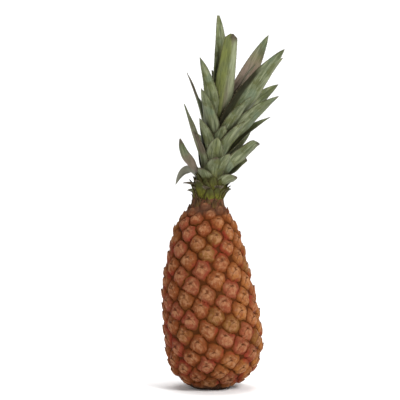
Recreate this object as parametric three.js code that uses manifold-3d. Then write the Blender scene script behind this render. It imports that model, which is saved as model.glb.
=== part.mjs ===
// A ripe pineapple standing on its trimmed base: the fruit with its fused eyes, the cut stalk
// end under it, and the leafy crown on top. Millimetres, +Z up, origin at the middle of the base.
import * as THREE from "three";
import { ConvexHull } from "three/addons/math/ConvexHull.js";
import { mergeVertices } from "three/addons/utils/BufferGeometryUtils.js";
import Module from "manifold-3d";

const wasm = await Module();
wasm.setup();

// Driving dimensions of the fruit
const FRUIT_OUTLINE = [ // radius and height round the fruit's own axis, over the tops of the eyes
  [0, -7], [15, -3.5], [23.5, 1], [36, 9], [46, 18.5], [53.2, 33], [56.8, 55], [56.3, 78],
  [54.2, 105], [50.2, 131], [44.3, 157], [37.4, 183], [28, 200], [19, 212.5], [16.5, 221], [0, 227],
];
const FRUIT_AXIS = [ // how far the axis stands towards +X at each height: the fruit is a little bent
  [0.5, 0], [4, 38], [3.2, 60], [0, 92], [-3.6, 125], [-4.4, 160], [-5, 190], [-3, 219],
];
const NECK_TOP = 219; // the fruit ends here, and the crown sits on it
const NECK_FROM = 188; // from here up the eyes grow flat and their bracts long
const EYE_COUNT = 187;
const GOLDEN_TURN = 137.508; // degrees from one eye, or leaf, to the next
const FIRST_EYE_TURN = 48;
const EYE_SWAY = 1.2; // how far an eye stands off the even spiral
const EYE_SHRINK = [ // shares by which the eyes get smaller upwards, and the heights over which
  { share: 0.1, from: 120, to: 219 },
  { share: 0.3, from: 186, to: 215 },
];
const GROOVE_DEPTH = 3.6;
const NECK_GROOVE = 0.35; // share of a groove's depth that is left at the neck
const NECK_RELIEF = 0.4; // share of an eye's relief that is left at the neck
const NECK_FULL = 213; // the neck's own look is complete from here up
const EYE_RINGS = [ // share of the way out to the eye's corners, height over the outline, roundness
  { out: 0.8, high: -1.9, round: 0.45 },
  { out: 0.42, high: -0.9, round: 0.8 },
];
const BRACT_LIP = 0.9; // the lower half of an eye is covered by its bract, which stands this proud
const BRACT_POINT = { up: 3.4, high: 0.8 }; // the bract's free point, above the eye's middle
const NECK_BRACT = { up: 6.5, high: 0.1 };
const BRACT_REACH = 0.6; // the point stays within this share of its eye
const OUTLINE_STEPS = 600;
const AXIS_STEPS = 80;

// Driving dimensions of the stalk end
const STALK = { radius: 13, deep: 9, bevel: 1.2, sides: 24 };
const GAP = 0.35; // clearance between touching pieces

// Driving dimensions of the crown. A leaf's rise and reach are those of its tip, from the middle of
// the crown's foot, along the crown's axis and out from it.
const CROWN_LEAN = 8.4; // degrees towards +X
const STEM = { // radii, and the heights they stand at
  foot: 16, belly: 18, bellyHeight: 8, waist: 15, waistHeight: 20, top: 7, height: 62,
  sunk: 6, point: 3, sides: 12,
};
const LEAF_COUNT = 45;
const LEAF_STEPS = 5;
const LOW_LEAF_STEPS = 4;
const LOW_LEAVES = 8;
const COLLAR_LEAVES = 9; // short scale leaves that wrap the crown's foot
const COLLAR_STEPS = 3;
const COLLAR_LEAF = { rise: 20, drop: 9, reach: 21, spread: 3, width: 22, rootTop: 4, rootFoot: -2 };
const LEAF_EDGE = 0.8; // thickness at a leaf's edges
const LEAF_MIDDLE = 2.6; // thickness over the midrib, at the root
const LEAF_FOLD = { root: 0.5, tip: 0.3 }; // how far the edges stand inwards, in half widths
const LEAF_END = 0.7; // the least half width, at the tip
const LEAF_ROOT = { first: 6, last: 54, firstDeep: 0.9, lastDeep: 0.45 }; // height, share of the radius
const LEAF_RISE = { first: 10, step: 4.5 }; // each leaf's tip is this much higher than the last
const LEAF_REACH = { low: 27, most: 50, inner: 8 };
const LEAF_WIDTH = { low: 20, most: 26, inner: 17 };
const LEAF_BOW = 0.09; // share of its length by which a leaf arches up before it turns out
// This crown's own leaves, where they depart from the rule: bent, twisted, cut short or shaded out
const LEAF_CHANGES = {
  "-4": { reach: 25, rise: 5 },
  0: { reach: 24, rise: 14, twist: 30 },
  1: { reach: 26, rise: 12 },
  2: { reach: 30, rise: 49, width: 30 },
  4: { reach: 31, rise: 13, width: 12 },
  5: { reach: 35, rise: 29, width: 24, twist: -25 },
  7: { reach: 31, rise: 34 },
  8: { reach: 40, rise: 51, width: 25, cut: 0.9, twist: 35 },
  9: { reach: 42, rise: 9, bow: 0.5, width: 13, twist: 55 },
  12: { reach: 33, rise: 73, width: 19 },
  13: { reach: 48, rise: 73, width: 26, cut: 0.85, bow: 0.02, twist: -35 },
  15: { reach: 29, rise: 71, turn: 8, width: 27 },
  16: { reach: 50, rise: 82, twist: 30 },
  17: { reach: 42, rise: 63, width: 27, bow: -0.15, twist: 35 },
  18: { reach: 40, rise: 94 },
  20: { reach: 36, rise: 90 },
  21: { reach: 58, rise: 103, width: 20, twist: 25 },
  22: { reach: 36, rise: 114 },
  23: { reach: 30, rise: 86 },
  25: { reach: 45, rise: 103, width: 22, bow: -0.02 },
  26: { reach: 68, rise: 127, width: 26, twist: -40 },
  28: { reach: 46, rise: 123, turn: -15, width: 27 },
  29: { reach: 70, rise: 141, width: 30, twist: 40 },
  30: { reach: 46, rise: 139, width: 16, bow: 0.05 },
  31: { reach: 56, rise: 122, width: 22 },
  33: { reach: 41, rise: 158, width: 23, twist: 35 },
  34: { reach: 62, rise: 171, width: 34, twist: -55 },
  35: { reach: 25, rise: 146 },
  36: { reach: 14, rise: 190, width: 27, cut: 0.8, bow: 0 },
  37: { reach: 63, rise: 197, width: 30, bow: 0.04, twist: 42 },
  38: { reach: 30, rise: 150 },
  39: { reach: 75, rise: 180, width: 32, bow: 0.05, twist: -40 },
  40: { reach: 12, rise: 178, bow: 0.02 },
  41: { reach: 7, rise: 142, bow: 0.03 },
  42: { reach: 32, rise: 160, width: 20 },
  43: { reach: 22, rise: 209, width: 25, cut: 0.97, bow: 0.045, twist: -45 },
  44: { reach: 5, rise: 172, bow: 0.02 },
};

const BLOCK = 200; // wider than any level cut

const radians = THREE.MathUtils.degToRad;
const smoothstep = THREE.MathUtils.smoothstep;
const lerp = THREE.MathUtils.lerp;

// Closed geometry to a solid, and back
function solidOf(geometry) {
  const bare = new THREE.BufferGeometry().setAttribute("position", geometry.getAttribute("position"));
  bare.setIndex(geometry.index);
  const merged = mergeVertices(bare, 1e-4);
  return new wasm.Manifold(
    new wasm.Mesh({
      numProp: 3,
      vertProperties: new Float32Array(merged.attributes.position.array),
      triVerts: new Uint32Array(merged.index.array),
    }),
  );
}

function geometryOf(solid) {
  const mesh = solid.getMesh();
  const positions = new Float32Array(mesh.numVert * 3);
  for (let i = 0; i < mesh.numVert; i++) {
    positions.set(mesh.vertProperties.subarray(i * mesh.numProp, i * mesh.numProp + 3), i * 3);
  }
  const geometry = new THREE.BufferGeometry();
  geometry.setAttribute("position", new THREE.BufferAttribute(positions, 3));
  geometry.setIndex(new THREE.BufferAttribute(new Uint32Array(mesh.triVerts), 1));
  const flat = geometry.toNonIndexed();
  flat.computeVertexNormals();
  return flat;
}

function indexedGeometry(points, faces) {
  const geometry = new THREE.BufferGeometry().setFromPoints(points);
  geometry.setIndex(faces.flat());
  return geometry;
}

// The fruit's outline, walked from the top pole to the bottom one. Each station has its radius,
// height, outward normal, the skin's area above it, and the latitude that keeps angles true.
function walkOutline() {
  const curve = new THREE.CatmullRomCurve3(
    FRUIT_OUTLINE.map(([r, z]) => new THREE.Vector3(r, z, 0)).reverse(),
    false,
    "centripetal",
  );
  const points = curve.getSpacedPoints(OUTLINE_STEPS);
  let area = 0;
  let latitude = 0;
  return points.map((point, i) => {
    const before = points[Math.max(0, i - 1)];
    const after = points[Math.min(points.length - 1, i + 1)];
    const step = point.distanceTo(before);
    const middle = Math.max(0.05, (point.x + before.x) / 2);
    const size = EYE_SHRINK.reduce((left, { share, from, to }) => {
      return left - share * smoothstep(point.y, from, to);
    }, 1);
    area += (2 * Math.PI * middle * step) / (size * size);
    latitude += step / middle;
    const along = after.clone().sub(before).normalize();
    return { r: Math.max(0, point.x), z: point.y, nr: -along.y, nz: along.x, area, latitude };
  });
}

const outline = walkOutline();
const skinArea = outline[outline.length - 1].area;

function stationAt(key, value) {
  let high = outline.findIndex((station) => station[key] >= value);
  high = high < 1 ? 1 : high;
  const a = outline[high - 1];
  const b = outline[high];
  const t = (value - a[key]) / (b[key] - a[key] || 1);
  const mixed = {};
  for (const name of Object.keys(a)) {
    mixed[name] = lerp(a[name], b[name], t);
  }
  return mixed;
}

// From the fruit's own straight axis to where it stands
const fruitAxis = new THREE.CatmullRomCurve3(
  FRUIT_AXIS.map(([x, z]) => new THREE.Vector3(x, z, 0)),
  false,
  "centripetal",
).getPoints(AXIS_STEPS);

function stand(point) {
  let high = fruitAxis.findIndex((station) => station.y > point.z);
  if (high < 0) {
    high = fruitAxis.length - 1;
  }
  const b = fruitAxis[Math.max(1, high)];
  const a = fruitAxis[Math.max(1, high) - 1];
  const t = THREE.MathUtils.clamp((point.z - a.y) / (b.y - a.y), 0, 1);
  return point.clone().setX(point.x + lerp(a.x, b.x, t));
}

function eyeSites() {
  const middle = outline[outline.length >> 1].latitude;
  return Array.from({ length: EYE_COUNT }, (_, n) => {
    const area = ((n + 0.5) / EYE_COUNT) * skinArea;
    const around = 2 * Math.PI * stationAt("area", area).r;
    const station = stationAt("area", area + EYE_SWAY * Math.sin(2.3 * n) * around);
    const sideways = (2 * Math.PI * EYE_SWAY * Math.sin(1.7 * n)) / around;
    const turn = radians(FIRST_EYE_TURN + n * GOLDEN_TURN) + sideways;
    const out = new THREE.Vector3(Math.cos(turn), Math.sin(turn), 0);
    const normal = out.clone().multiplyScalar(station.nr).setZ(station.nz).normalize();
    const side = new THREE.Vector3(-out.y, out.x, 0);
    const polar = 2 * Math.atan(Math.exp(station.latitude - middle));
    return {
      at: out.clone().multiplyScalar(station.r).setZ(station.z),
      normal,
      up: new THREE.Vector3().crossVectors(normal, side).normalize(),
      onSphere: out.clone().multiplyScalar(Math.sin(polar)).setZ(Math.cos(polar)),
    };
  });
}

// 0 on the body, 1 at the neck
function neckShare(z) {
  return smoothstep(z, NECK_FROM, NECK_FULL);
}

// The neighbours of each eye, three at a time, from the convex hull of the sites on a sphere
function eyeTriples(sites) {
  const tagged = sites.map((site, n) => Object.assign(site.onSphere.clone(), { n }));
  const hull = new ConvexHull().setFromPoints(tagged);
  return hull.faces.map((face) => {
    const first = face.edge;
    return [first, first.next, first.next.next].map((edge) => edge.head().point.n);
  });
}

// Each eye is a raised plate between grooves: corners shared with its neighbours, two rings,
// and a middle drawn out into the point of its bract.
function fruitSolid() {
  const sites = eyeSites();
  const points = [];
  const faces = [];
  const cornersOf = sites.map(() => []);
  for (const triple of eyeTriples(sites)) {
    const corner = new THREE.Vector3();
    const inward = new THREE.Vector3();
    for (const n of triple) {
      corner.addScaledVector(sites[n].at, 1 / 3);
      inward.addScaledVector(sites[n].normal, -1);
    }
    const depth = GROOVE_DEPTH * lerp(1, NECK_GROOVE, neckShare(corner.z));
    const id = points.push(corner.addScaledVector(inward.normalize(), depth)) - 1;
    triple.forEach((n) => cornersOf[n].push(id));
  }
  sites.forEach((site, n) => {
    const side = new THREE.Vector3().crossVectors(site.up, site.normal);
    const neck = neckShare(site.at.z);
    const armTo = (id) => {
      const arm = points[id].clone().sub(site.at);
      return arm.addScaledVector(site.normal, -arm.dot(site.normal));
    };
    const angle = (id) => Math.atan2(armTo(id).dot(site.up), armTo(id).dot(side));
    const corners = cornersOf[n].sort((a, b) => angle(a) - angle(b));
    const meanArm = corners.reduce((sum, id) => sum + armTo(id).length(), 0) / corners.length;
    let outer = corners;
    for (const ring of EYE_RINGS) {
      const inner = corners.map((id) => {
        const arm = armTo(id);
        const underBract = smoothstep(-arm.dot(site.up) / arm.length(), -0.2, 0.5);
        const high = (ring.high + BRACT_LIP * underBract) * lerp(1, NECK_RELIEF, neck);
        arm.setLength(ring.out * lerp(arm.length(), meanArm, ring.round));
        return points.push(site.at.clone().add(arm).addScaledVector(site.normal, high)) - 1;
      });
      corners.forEach((_, i) => {
        const j = (i + 1) % corners.length;
        faces.push([outer[i], outer[j], inner[j]], [outer[i], inner[j], inner[i]]);
      });
      outer = inner;
    }
    const tip = site.at
      .clone()
      .addScaledVector(site.up, Math.min(BRACT_REACH * meanArm, lerp(BRACT_POINT.up, NECK_BRACT.up, neck)))
      .addScaledVector(site.normal, lerp(BRACT_POINT.high, NECK_BRACT.high, neck));
    const middle = points.push(tip) - 1;
    outer.forEach((id, i) => faces.push([id, outer[(i + 1) % outer.length], middle]));
  });
  return solidOf(indexedGeometry(points.map(stand), faces));
}

// A block that takes away everything above a height, or below it where the side is -1
function levelBlock(height, side) {
  return solidOf(new THREE.BoxGeometry(BLOCK, BLOCK, BLOCK).translate(0, 0, height + (side * BLOCK) / 2));
}

function latheSolid(profile, sides) {
  const turned = new THREE.LatheGeometry(profile.map(([r, z]) => new THREE.Vector2(r, z)), sides);
  return solidOf(turned.rotateX(Math.PI / 2));
}

// The fruit is level where it stands and where the crown sits, and open under for its stalk
function trimmedFruit() {
  const { radius, deep, sides } = STALK;
  const [wide, low, high] = [radius + GAP, -deep, deep + GAP];
  const pocket = latheSolid([[0, low], [wide, low], [wide, high], [0, high]], sides);
  return fruitSolid().subtract(levelBlock(0, -1)).subtract(levelBlock(NECK_TOP, 1)).subtract(pocket);
}

function stalkSolid() {
  const { radius, deep, bevel, sides } = STALK;
  return latheSolid([[0, 0], [radius - bevel, 0], [radius, bevel], [radius, deep], [0, deep]], sides);
}

// The crown's own frame: its foot on the fruit's neck, leaning towards +X
const crownFoot = stand(new THREE.Vector3(0, 0, NECK_TOP));
const crownTurn = new THREE.Matrix4()
  .makeTranslation(crownFoot)
  .multiply(new THREE.Matrix4().makeRotationY(radians(CROWN_LEAN)));

function stemRadius(height) {
  const { waist, waistHeight, top, height: full } = STEM;
  return lerp(waist, top, THREE.MathUtils.clamp((height - waistHeight) / (full - waistHeight), 0, 1));
}

// How each leaf grows, from its place in the spiral: 0 for the lowest and 1 for the innermost.
// The collar's leaves come before the first, with numbers below 0.
function leafOf(n) {
  const age = Math.max(0, n) / (LEAF_COUNT - 1);
  const spread = smoothstep(age, 0, 0.45);
  const gather = smoothstep(age, 0.6, 1);
  const low = -n / COLLAR_LEAVES;
  const leaf = {
    turn: radians(n * GOLDEN_TURN),
    from: lerp(LEAF_ROOT.first, LEAF_ROOT.last, age),
    rooted: lerp(LEAF_ROOT.firstDeep, LEAF_ROOT.lastDeep, age),
    rise: LEAF_RISE.first + n * LEAF_RISE.step,
    reach: lerp(lerp(LEAF_REACH.low, LEAF_REACH.most, spread), LEAF_REACH.inner, gather),
    width: lerp(lerp(LEAF_WIDTH.low, LEAF_WIDTH.most, spread), LEAF_WIDTH.inner, gather),
    bow: LEAF_BOW,
    twist: 0,
    cut: 1,
    steps: n < LOW_LEAVES ? LOW_LEAF_STEPS : LEAF_STEPS,
  };
  if (n < 0) {
    const { rise, drop, reach, spread: wider, width, rootTop, rootFoot } = COLLAR_LEAF;
    leaf.from = lerp(rootTop, rootFoot, low);
    leaf.rise = rise - drop * low;
    leaf.reach = reach + wider * (1 - low);
    leaf.width = width;
    leaf.steps = COLLAR_STEPS;
  }
  const change = LEAF_CHANGES[n] ?? {};
  return { ...leaf, ...change, turn: leaf.turn + radians(change.turn ?? 0) };
}

// A leaf's half width along it: full from its root to past its middle, then drawn to a point
function leafWidth(t) {
  return Math.min(1, 0.55 + 1.6 * t) * Math.pow(1 - Math.pow(t, 2.6), 0.8);
}

// A leaf is a channelled blade: three columns across on each face, from its root in the stem to
// a narrow tip. Both faces are split alike.
function leafSolid(leaf) {
  const out = new THREE.Vector3(Math.cos(leaf.turn), Math.sin(leaf.turn), 0);
  const level = new THREE.Vector3(-out.y, out.x, 0);
  const root = out.clone().multiplyScalar(leaf.rooted * stemRadius(leaf.from)).setZ(leaf.from);
  const tip = out.clone().multiplyScalar(leaf.reach).setZ(leaf.rise);
  const chord = tip.clone().sub(root);
  const crest = root.clone().addScaledVector(chord, 0.5);
  crest.addScaledVector(new THREE.Vector3().crossVectors(chord, level), 2 * leaf.bow);
  const spine = new THREE.QuadraticBezierCurve3(root, crest, tip);
  const points = [];
  for (let i = 0; i <= leaf.steps; i++) {
    const t = i / leaf.steps;
    const along = spine.getTangent(t);
    const side = level.clone().applyAxisAngle(along, radians(leaf.twist) * smoothstep(t, 0.1, 0.6));
    const inner = new THREE.Vector3().crossVectors(side, along).negate();
    const half = Math.max(LEAF_END, (leaf.width / 2) * leafWidth(t * leaf.cut));
    const fold = half * lerp(LEAF_FOLD.root, LEAF_FOLD.tip, t);
    const middle = lerp(LEAF_MIDDLE, LEAF_EDGE, t);
    for (const [across, thick] of [[-1, LEAF_EDGE], [0, middle], [1, LEAF_EDGE]]) {
      const centre = spine.getPoint(t).addScaledVector(side, across * half * 0.92);
      centre.addScaledVector(inner, Math.abs(across) * fold);
      points.push(centre.clone().addScaledVector(inner, thick / 2));
      points.push(centre.clone().addScaledVector(inner, -thick / 2));
    }
  }
  const id = (i, column, face) => i * 6 + column * 2 + face;
  const faces = [];
  for (let i = 0; i < leaf.steps; i++) {
    for (const face of [0, 1]) {
      for (const column of [0, 1]) {
        const [a, b] = [id(i, column, face), id(i, column + 1, face)];
        const [c, d] = [id(i + 1, column + 1, face), id(i + 1, column, face)];
        faces.push(face ? [a, b, c] : [a, c, b], face ? [a, c, d] : [a, d, c]);
      }
    }
    for (const column of [0, 2]) {
      const [a, b] = [id(i, column, 0), id(i + 1, column, 0)];
      const [c, d] = [id(i + 1, column, 1), id(i, column, 1)];
      faces.push(column ? [a, b, c] : [a, c, b], column ? [a, c, d] : [a, d, c]);
    }
  }
  for (const [i, flip] of [[0, false], [leaf.steps, true]]) {
    for (const column of [0, 1]) {
      const [a, b] = [id(i, column, 0), id(i, column + 1, 0)];
      const [c, d] = [id(i, column + 1, 1), id(i, column, 1)];
      faces.push(flip ? [a, c, b] : [a, b, c], flip ? [a, d, c] : [a, c, d]);
    }
  }
  return solidOf(indexedGeometry(points, faces));
}

// The largest body alone: hollows that leaves close off between them are filled, and scraps dropped
function outerBody(solid) {
  return solid.decompose().sort((a, b) => b.volume() - a.volume())[0];
}

// The leafy stem, cut level where it meets the neck
function crownSolid() {
  const { foot, sunk, belly, bellyHeight, waist, waistHeight, top, height, point, sides } = STEM;
  const low = [[0, -sunk], [foot, -sunk], [foot, 0], [belly, bellyHeight]];
  let crown = latheSolid([...low, [waist, waistHeight], [top, height], [0, height + point]], sides);
  for (let n = -COLLAR_LEAVES; n < LEAF_COUNT; n++) {
    crown = crown.add(leafSolid(leafOf(n)));
  }
  return outerBody(crown.transform(crownTurn.elements).subtract(levelBlock(NECK_TOP + GAP, -1)));
}

function pieceOf(name, solid, colour, roughness) {
  const material = new THREE.MeshStandardMaterial({ color: colour, roughness, metalness: 0 });
  const mesh = new THREE.Mesh(geometryOf(solid), material);
  mesh.name = name;
  return mesh;
}

const pineapple = new THREE.Group();
pineapple.add(
  pieceOf("fruit", trimmedFruit(), 0xa05a30, 0.6),
  pieceOf("stalk_end", stalkSolid(), 0xb09a6c, 0.9),
  pieceOf("crown", crownSolid(), 0x66704c, 0.55),
);

export default pineapple;
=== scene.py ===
# A ripe pineapple: the fruit with its fused eyes and the dry points of their bracts, the cut end
# of the stalk, the dry scales where the rind ends, and the leafy crown.
import math

import bmesh
import bpy
import numpy as np
from mathutils import Matrix, Vector, noise
from mathutils.bvhtree import BVHTree


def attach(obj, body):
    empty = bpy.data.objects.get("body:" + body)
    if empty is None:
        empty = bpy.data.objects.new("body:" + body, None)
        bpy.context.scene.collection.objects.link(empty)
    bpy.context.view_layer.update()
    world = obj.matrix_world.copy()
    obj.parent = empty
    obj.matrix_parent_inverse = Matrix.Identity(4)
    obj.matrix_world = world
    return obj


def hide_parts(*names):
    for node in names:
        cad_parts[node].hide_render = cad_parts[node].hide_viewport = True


bl_info = {
    "name": "Pineapple",
    "version": (1, 0, 0),
    "blender": (4, 5, 0),
    "location": "View3D > Sidebar > Pineapple",
    "description": "Builds a ripe pineapple with its crown, piece by piece",
    "category": "Add Mesh",
}

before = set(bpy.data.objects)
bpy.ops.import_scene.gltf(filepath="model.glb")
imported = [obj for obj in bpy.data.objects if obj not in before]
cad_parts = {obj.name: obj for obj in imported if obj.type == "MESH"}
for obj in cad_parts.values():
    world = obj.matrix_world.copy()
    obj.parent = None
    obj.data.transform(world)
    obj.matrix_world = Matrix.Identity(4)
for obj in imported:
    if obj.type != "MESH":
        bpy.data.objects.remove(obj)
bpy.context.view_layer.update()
BODY = "root"
MM = 0.001
UP = np.array([0, 0, 1.0])
GOLDEN_TURN = math.radians(137.508)

# The fruit, in millimetres, as the solid has it
FRUIT_OUTLINE = [  # radius and height round the fruit's own axis, over the tops of the eyes
    (0, -7), (15, -3.5), (23.5, 1), (36, 9), (46, 18.5), (53.2, 33), (56.8, 55), (56.3, 78),
    (54.2, 105), (50.2, 131), (44.3, 157), (37.4, 183), (28, 200), (19, 212.5), (16.5, 221), (0, 227),
]
FRUIT_AXIS = [  # how far the axis stands towards +X at each height
    (0.5, 0), (4, 38), (3.2, 60), (0, 92), (-3.6, 125), (-4.4, 160), (-5, 190), (-3, 219),
]
NECK_TOP = 219
NECK_FROM = 188
EYE_COUNT = 187
FIRST_EYE_TURN = math.radians(48)
EYE_SHRINK = [(0.1, 120, 219), (0.3, 186, 215)]  # share, and the heights over which it grows
EYE_SWAY = 1.2  # how far an eye stands off the even spiral
EYE_NEIGHBOURS = 6
STALK_RADIUS = 13
STALK_DEPTH = 9
STALK_BEVEL = 1.2
STALK_GAP = 0.35

# What the skin has beyond the solid. Shares are of an eye's own radius.
SKIN_COLUMNS = 352
SKIN_ROWS = 250
EYE_SOFTNESS = 0.5  # how softly neighbouring eyes meet
EYE_WAVER = 2.3  # how far a groove wavers off its straight line
EYE_ROUND = 1.1  # share at which a circle rounds an eye off
PIT_UP = 0.3  # the pit that the flower left: its place above the eye's middle, size and depth
PIT_SIZE = 0.13
PIT_DEPTH = 0.9
RING_OUT = 0.66  # the fold round an eye's middle
RING_WIDTH = 0.09
RING_DEPTH = 0.45
STAR_DEPTH = 0.4  # the three creases that meet in the pit
EYE_DOME = 0.7  # how far an eye falls from its middle to its rim
FINE_HEIGHT = 0.32  # small bumps all over
TRIM_DEPTH = 0.8  # how far the base is trimmed
BASE_ROUGHNESS = 0.35
STALK_ROUGHNESS = 0.45
FLAP_COLUMNS = 8
FLAP_STEPS = 8
FLAP_FROM = 9  # heights between which the eyes have bracts of their own
FLAP_TO = 213
BASE_RINGS = 10
STALK_COLUMNS = 72
STALK_FACE_RINGS = 14

# The dry scales, in millimetres
SCALE_COUNT = 44
SCALE_STEPS = 6
SCALE_COLUMNS = 4
NECK_SCALE = {"length": 11, "width": 6.5, "thick": 0.6, "lift": 0.6, "curl": 1.2, "cup": 0.15}
NECK_SCALE_ROOTS = (208, 218)  # the lowest and the highest
NECK_SCALE_SINK = 1.3
NECK_SCALE_SIZES = (4, 0.65, 1.1)  # seed, least and most
FOOT_SCALE = {"length": 17, "width": 14, "thick": 0.8, "lift": 1.2, "curl": 2.6, "cup": 0.1}
FOOT_SCALE_ROOTS = (-4, 14)
FOOT_SCALE_LIFT = 0.2
FOOT_SCALE_SLOPE = 0.2
FOOT_SCALE_SIZES = (9, 0.75, 1.1)

# The crown, in millimetres, as the solid has it
CROWN_LEAN = math.radians(8.4)
STEM_PROFILE = [(16, -2), (16, 0), (18, 8), (15, 20), (7, 62), (3, 66)]
STEM_WAIST = (15, 20)  # radius and height
STEM_TOP = (7, 62)
STEM_RINGS = 24
STEM_COLUMNS = 48
LEAF_COUNT = 45
COLLAR_LEAVES = 9  # short leaves round the crown's foot, with numbers below 0
COLLAR_START = (4, -2)  # from the highest of them to the lowest, as are the next two
COLLAR_RISE = (20, 11)
COLLAR_REACH = (24, 21)
COLLAR_WIDTH = 22
COLLAR_DRY = 0.35  # dried share of a leaf's length
LOW_LEAVES = 9
LOW_DRY = 0.12
LEAF_DRY = 0.03
LEAF_RISE_FIRST = 10
LEAF_RISE_STEP = 4.5
LEAF_REACH = (27, 50, 8)  # low, most and inner
LEAF_WIDTH = (20, 26, 17)
LEAF_BOW = 0.09
LEAF_STEPS = 30
LEAF_COLUMNS = 11
LEAF_EDGE = 0.7
LEAF_MIDDLE = 2.4
BLUNT_CUT = 0.9  # a leaf cut to this share or less has a blunt end
BLUNT_FROM = 0.95  # where a blunt end begins to round off
# Painted shade: a leaf point hemmed in by other leaves is darkened as if it lay in their shade
OCCLUSION_SHADE_REACH = 0.03  # metres within which other leaves darken one
SPINE_SIDES = 5
SPINE_SLIMNESS = 0.3  # a spine's radius as a share of its length
LEAF_CHANGES = {  # this crown's own leaves: reach, rise, and what else departs from the rule
    -4: (25, 5, {}),
    0: (24, 14, {"twist": 30}),
    1: (26, 12, {}),
    2: (30, 49, {"width": 30}),
    4: (31, 13, {"width": 12, "dry": 0.9}),
    5: (35, 29, {"width": 24, "twist": -25}),
    7: (31, 34, {}),
    8: (40, 51, {"width": 25, "cut": 0.9, "twist": 35}),
    9: (42, 9, {"bow": 0.5, "width": 13, "twist": 55, "dry": 1.0, "pale": 1.0}),
    12: (33, 73, {"width": 19, "dry": 0.5}),
    13: (48, 73, {"width": 26, "cut": 0.85, "bow": 0.02, "twist": -35, "tone": 0.1, "curl": 1}),
    15: (29, 71, {"turn": 8, "width": 27, "tone": 1.1, "rim": -1}),
    16: (50, 82, {"twist": 30}),
    17: (42, 63, {
        "width": 27, "bow": -0.15, "twist": 35, "dry": 0.16, "blush": 0.9, "blush_to": 0.6, "tone": 0.1,
    }),
    18: (40, 94, {}),
    20: (36, 90, {}),
    21: (58, 103, {"width": 20, "twist": 25}),
    22: (36, 114, {}),
    23: (30, 86, {}),
    25: (45, 103, {"width": 22, "bow": -0.02, "blush": 0.3}),
    26: (68, 127, {"width": 26, "twist": -40, "tone": 0.15}),
    28: (46, 123, {"turn": -15, "width": 27}),
    29: (70, 141, {"width": 30, "twist": 40}),
    30: (46, 139, {"width": 16, "bow": 0.05, "dry": 0.3}),
    31: (56, 122, {"width": 22, "tone": 0.1}),
    33: (41, 158, {"width": 23, "twist": 35}),
    34: (62, 171, {"width": 34, "twist": -55, "shade_from": 0.4, "blush": 0.8}),
    35: (25, 146, {}),
    36: (14, 190, {
        "width": 27, "cut": 0.8, "bow": 0.0, "gold": 1.0, "curl": 1.0,
        "blush": 0.8, "blush_to": 0.62, "blush_side": 1,
    }),
    37: (63, 197, {"width": 30, "bow": 0.04, "twist": 42, "blush": 1.0}),
    38: (30, 150, {}),
    39: (75, 180, {"width": 32, "bow": 0.05, "twist": -40, "shade_from": 0.42, "tone": 0.3, "rim": 1}),
    40: (12, 178, {"bow": 0.02}),
    41: (7, 142, {"bow": 0.03}),
    42: (32, 160, {"width": 20, "blush": 1.0, "blush_to": 0.9}),
    43: (22, 209, {"width": 25, "cut": 0.97, "bow": 0.045, "twist": -45, "tone": 0.8}),
    44: (5, 172, {"bow": 0.02}),
}

# The photograph's frame is 400 pixels square
PIXEL = 1.15 * MM
FRAME_PIXELS = 400
FOOT_PIXEL = (210.5, 388.5)
CAMERA_ELEVATION = math.radians(3)
CAMERA_DISTANCE = 2.2
SENSOR_MM = 36

# The stage, in metres
FLOOR_LOW = -0.2 * MM
FLOOR_FRONT = -3.5
FLOOR_DEPTH = 1.6
FLOOR_WIDE = 4.0
FLOOR_BEND = 0.8  # radius where the floor turns up into its backdrop
FLOOR_BEND_STEPS = 12
BACKDROP_HEIGHT = 3.2
LIGHTS = [  # place, share of the main light's power, and size
    ("key", (1.0, -1.2, 1.2), 1.0, 0.7),
    ("fill", (-1.3, -1.2, 0.7), 0.25, 1.4),
    ("top", (0.1, 0.3, 1.9), 0.45, 1.2),
]
LIGHTS_AIM = (0, 0, 0.2)
BACKDROP_LIGHT = {"place": (0, 0.7, 2.6), "aim": (0, 2.4, 0.6), "size": 2.0}


# Small sums

def lerp(a, b, t):
    return a + (b - a) * t


def smooth(x, low, high):
    t = np.clip((x - low) / (high - low), 0, 1)
    return t * t * (3 - 2 * t)


def unit(rows):
    return rows / np.linalg.norm(rows, axis=-1, keepdims=True)


def outward(turn):
    """Level directions that point away from an upright axis."""
    return np.stack([np.cos(turn), np.sin(turn), 0 * turn], -1)


def sideways(turn):
    """Level directions that point round an upright axis."""
    return np.stack([-np.sin(turn), np.cos(turn), 0 * turn], -1)


def noise_at(points, scale, kind=noise.noise, *detail):
    return np.array([kind(Vector(p) * scale, *detail) for p in points])


def curve_through(points, samples):
    """A centripetal Catmull-Rom curve through points, with as many samples as are asked for."""
    p = np.array(points, float)
    last = len(p) - 1
    found = []
    for k in range(samples + 1):
        place = last * k / samples
        i = min(int(place), last - 1)
        w = place - i
        before = p[i - 1] if i > 0 else 2 * p[0] - p[1]
        after = p[i + 2] if i + 2 <= last else 2 * p[last] - p[last - 1]
        a, b = p[i], p[i + 1]
        steps = ((before, a), (a, b), (b, after))
        g0, g1, g2 = (max(1e-6, float(np.sum((m - n) ** 2)) ** 0.25) for m, n in steps)
        out = ((a - before) / g0 - (b - before) / (g0 + g1) + (b - a) / g1) * g1
        into = ((b - a) / g1 - (after - a) / (g1 + g2) + (after - b) / g2) * g1
        square, cube = 3 * b - 3 * a - 2 * out - into, 2 * a - 2 * b + out + into
        found.append(a + out * w + square * w**2 + cube * w**3)
    return np.array(found)


# Meshes and pieces

def add_object(name, data):
    made = bpy.data.objects.new(name, data)
    bpy.context.scene.collection.objects.link(made)
    return made


def add_looks(mesh, looks):
    """Numbers, or vectors where the values come in rows, for each point of a mesh."""
    for title, values in looks.items():
        values = np.asarray(values, np.float32)
        kind, key = ("FLOAT_VECTOR", "vector") if values.ndim == 2 else ("FLOAT", "value")
        mesh.attributes.new(title, kind, "POINT").data.foreach_set(key, values.ravel())


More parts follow.
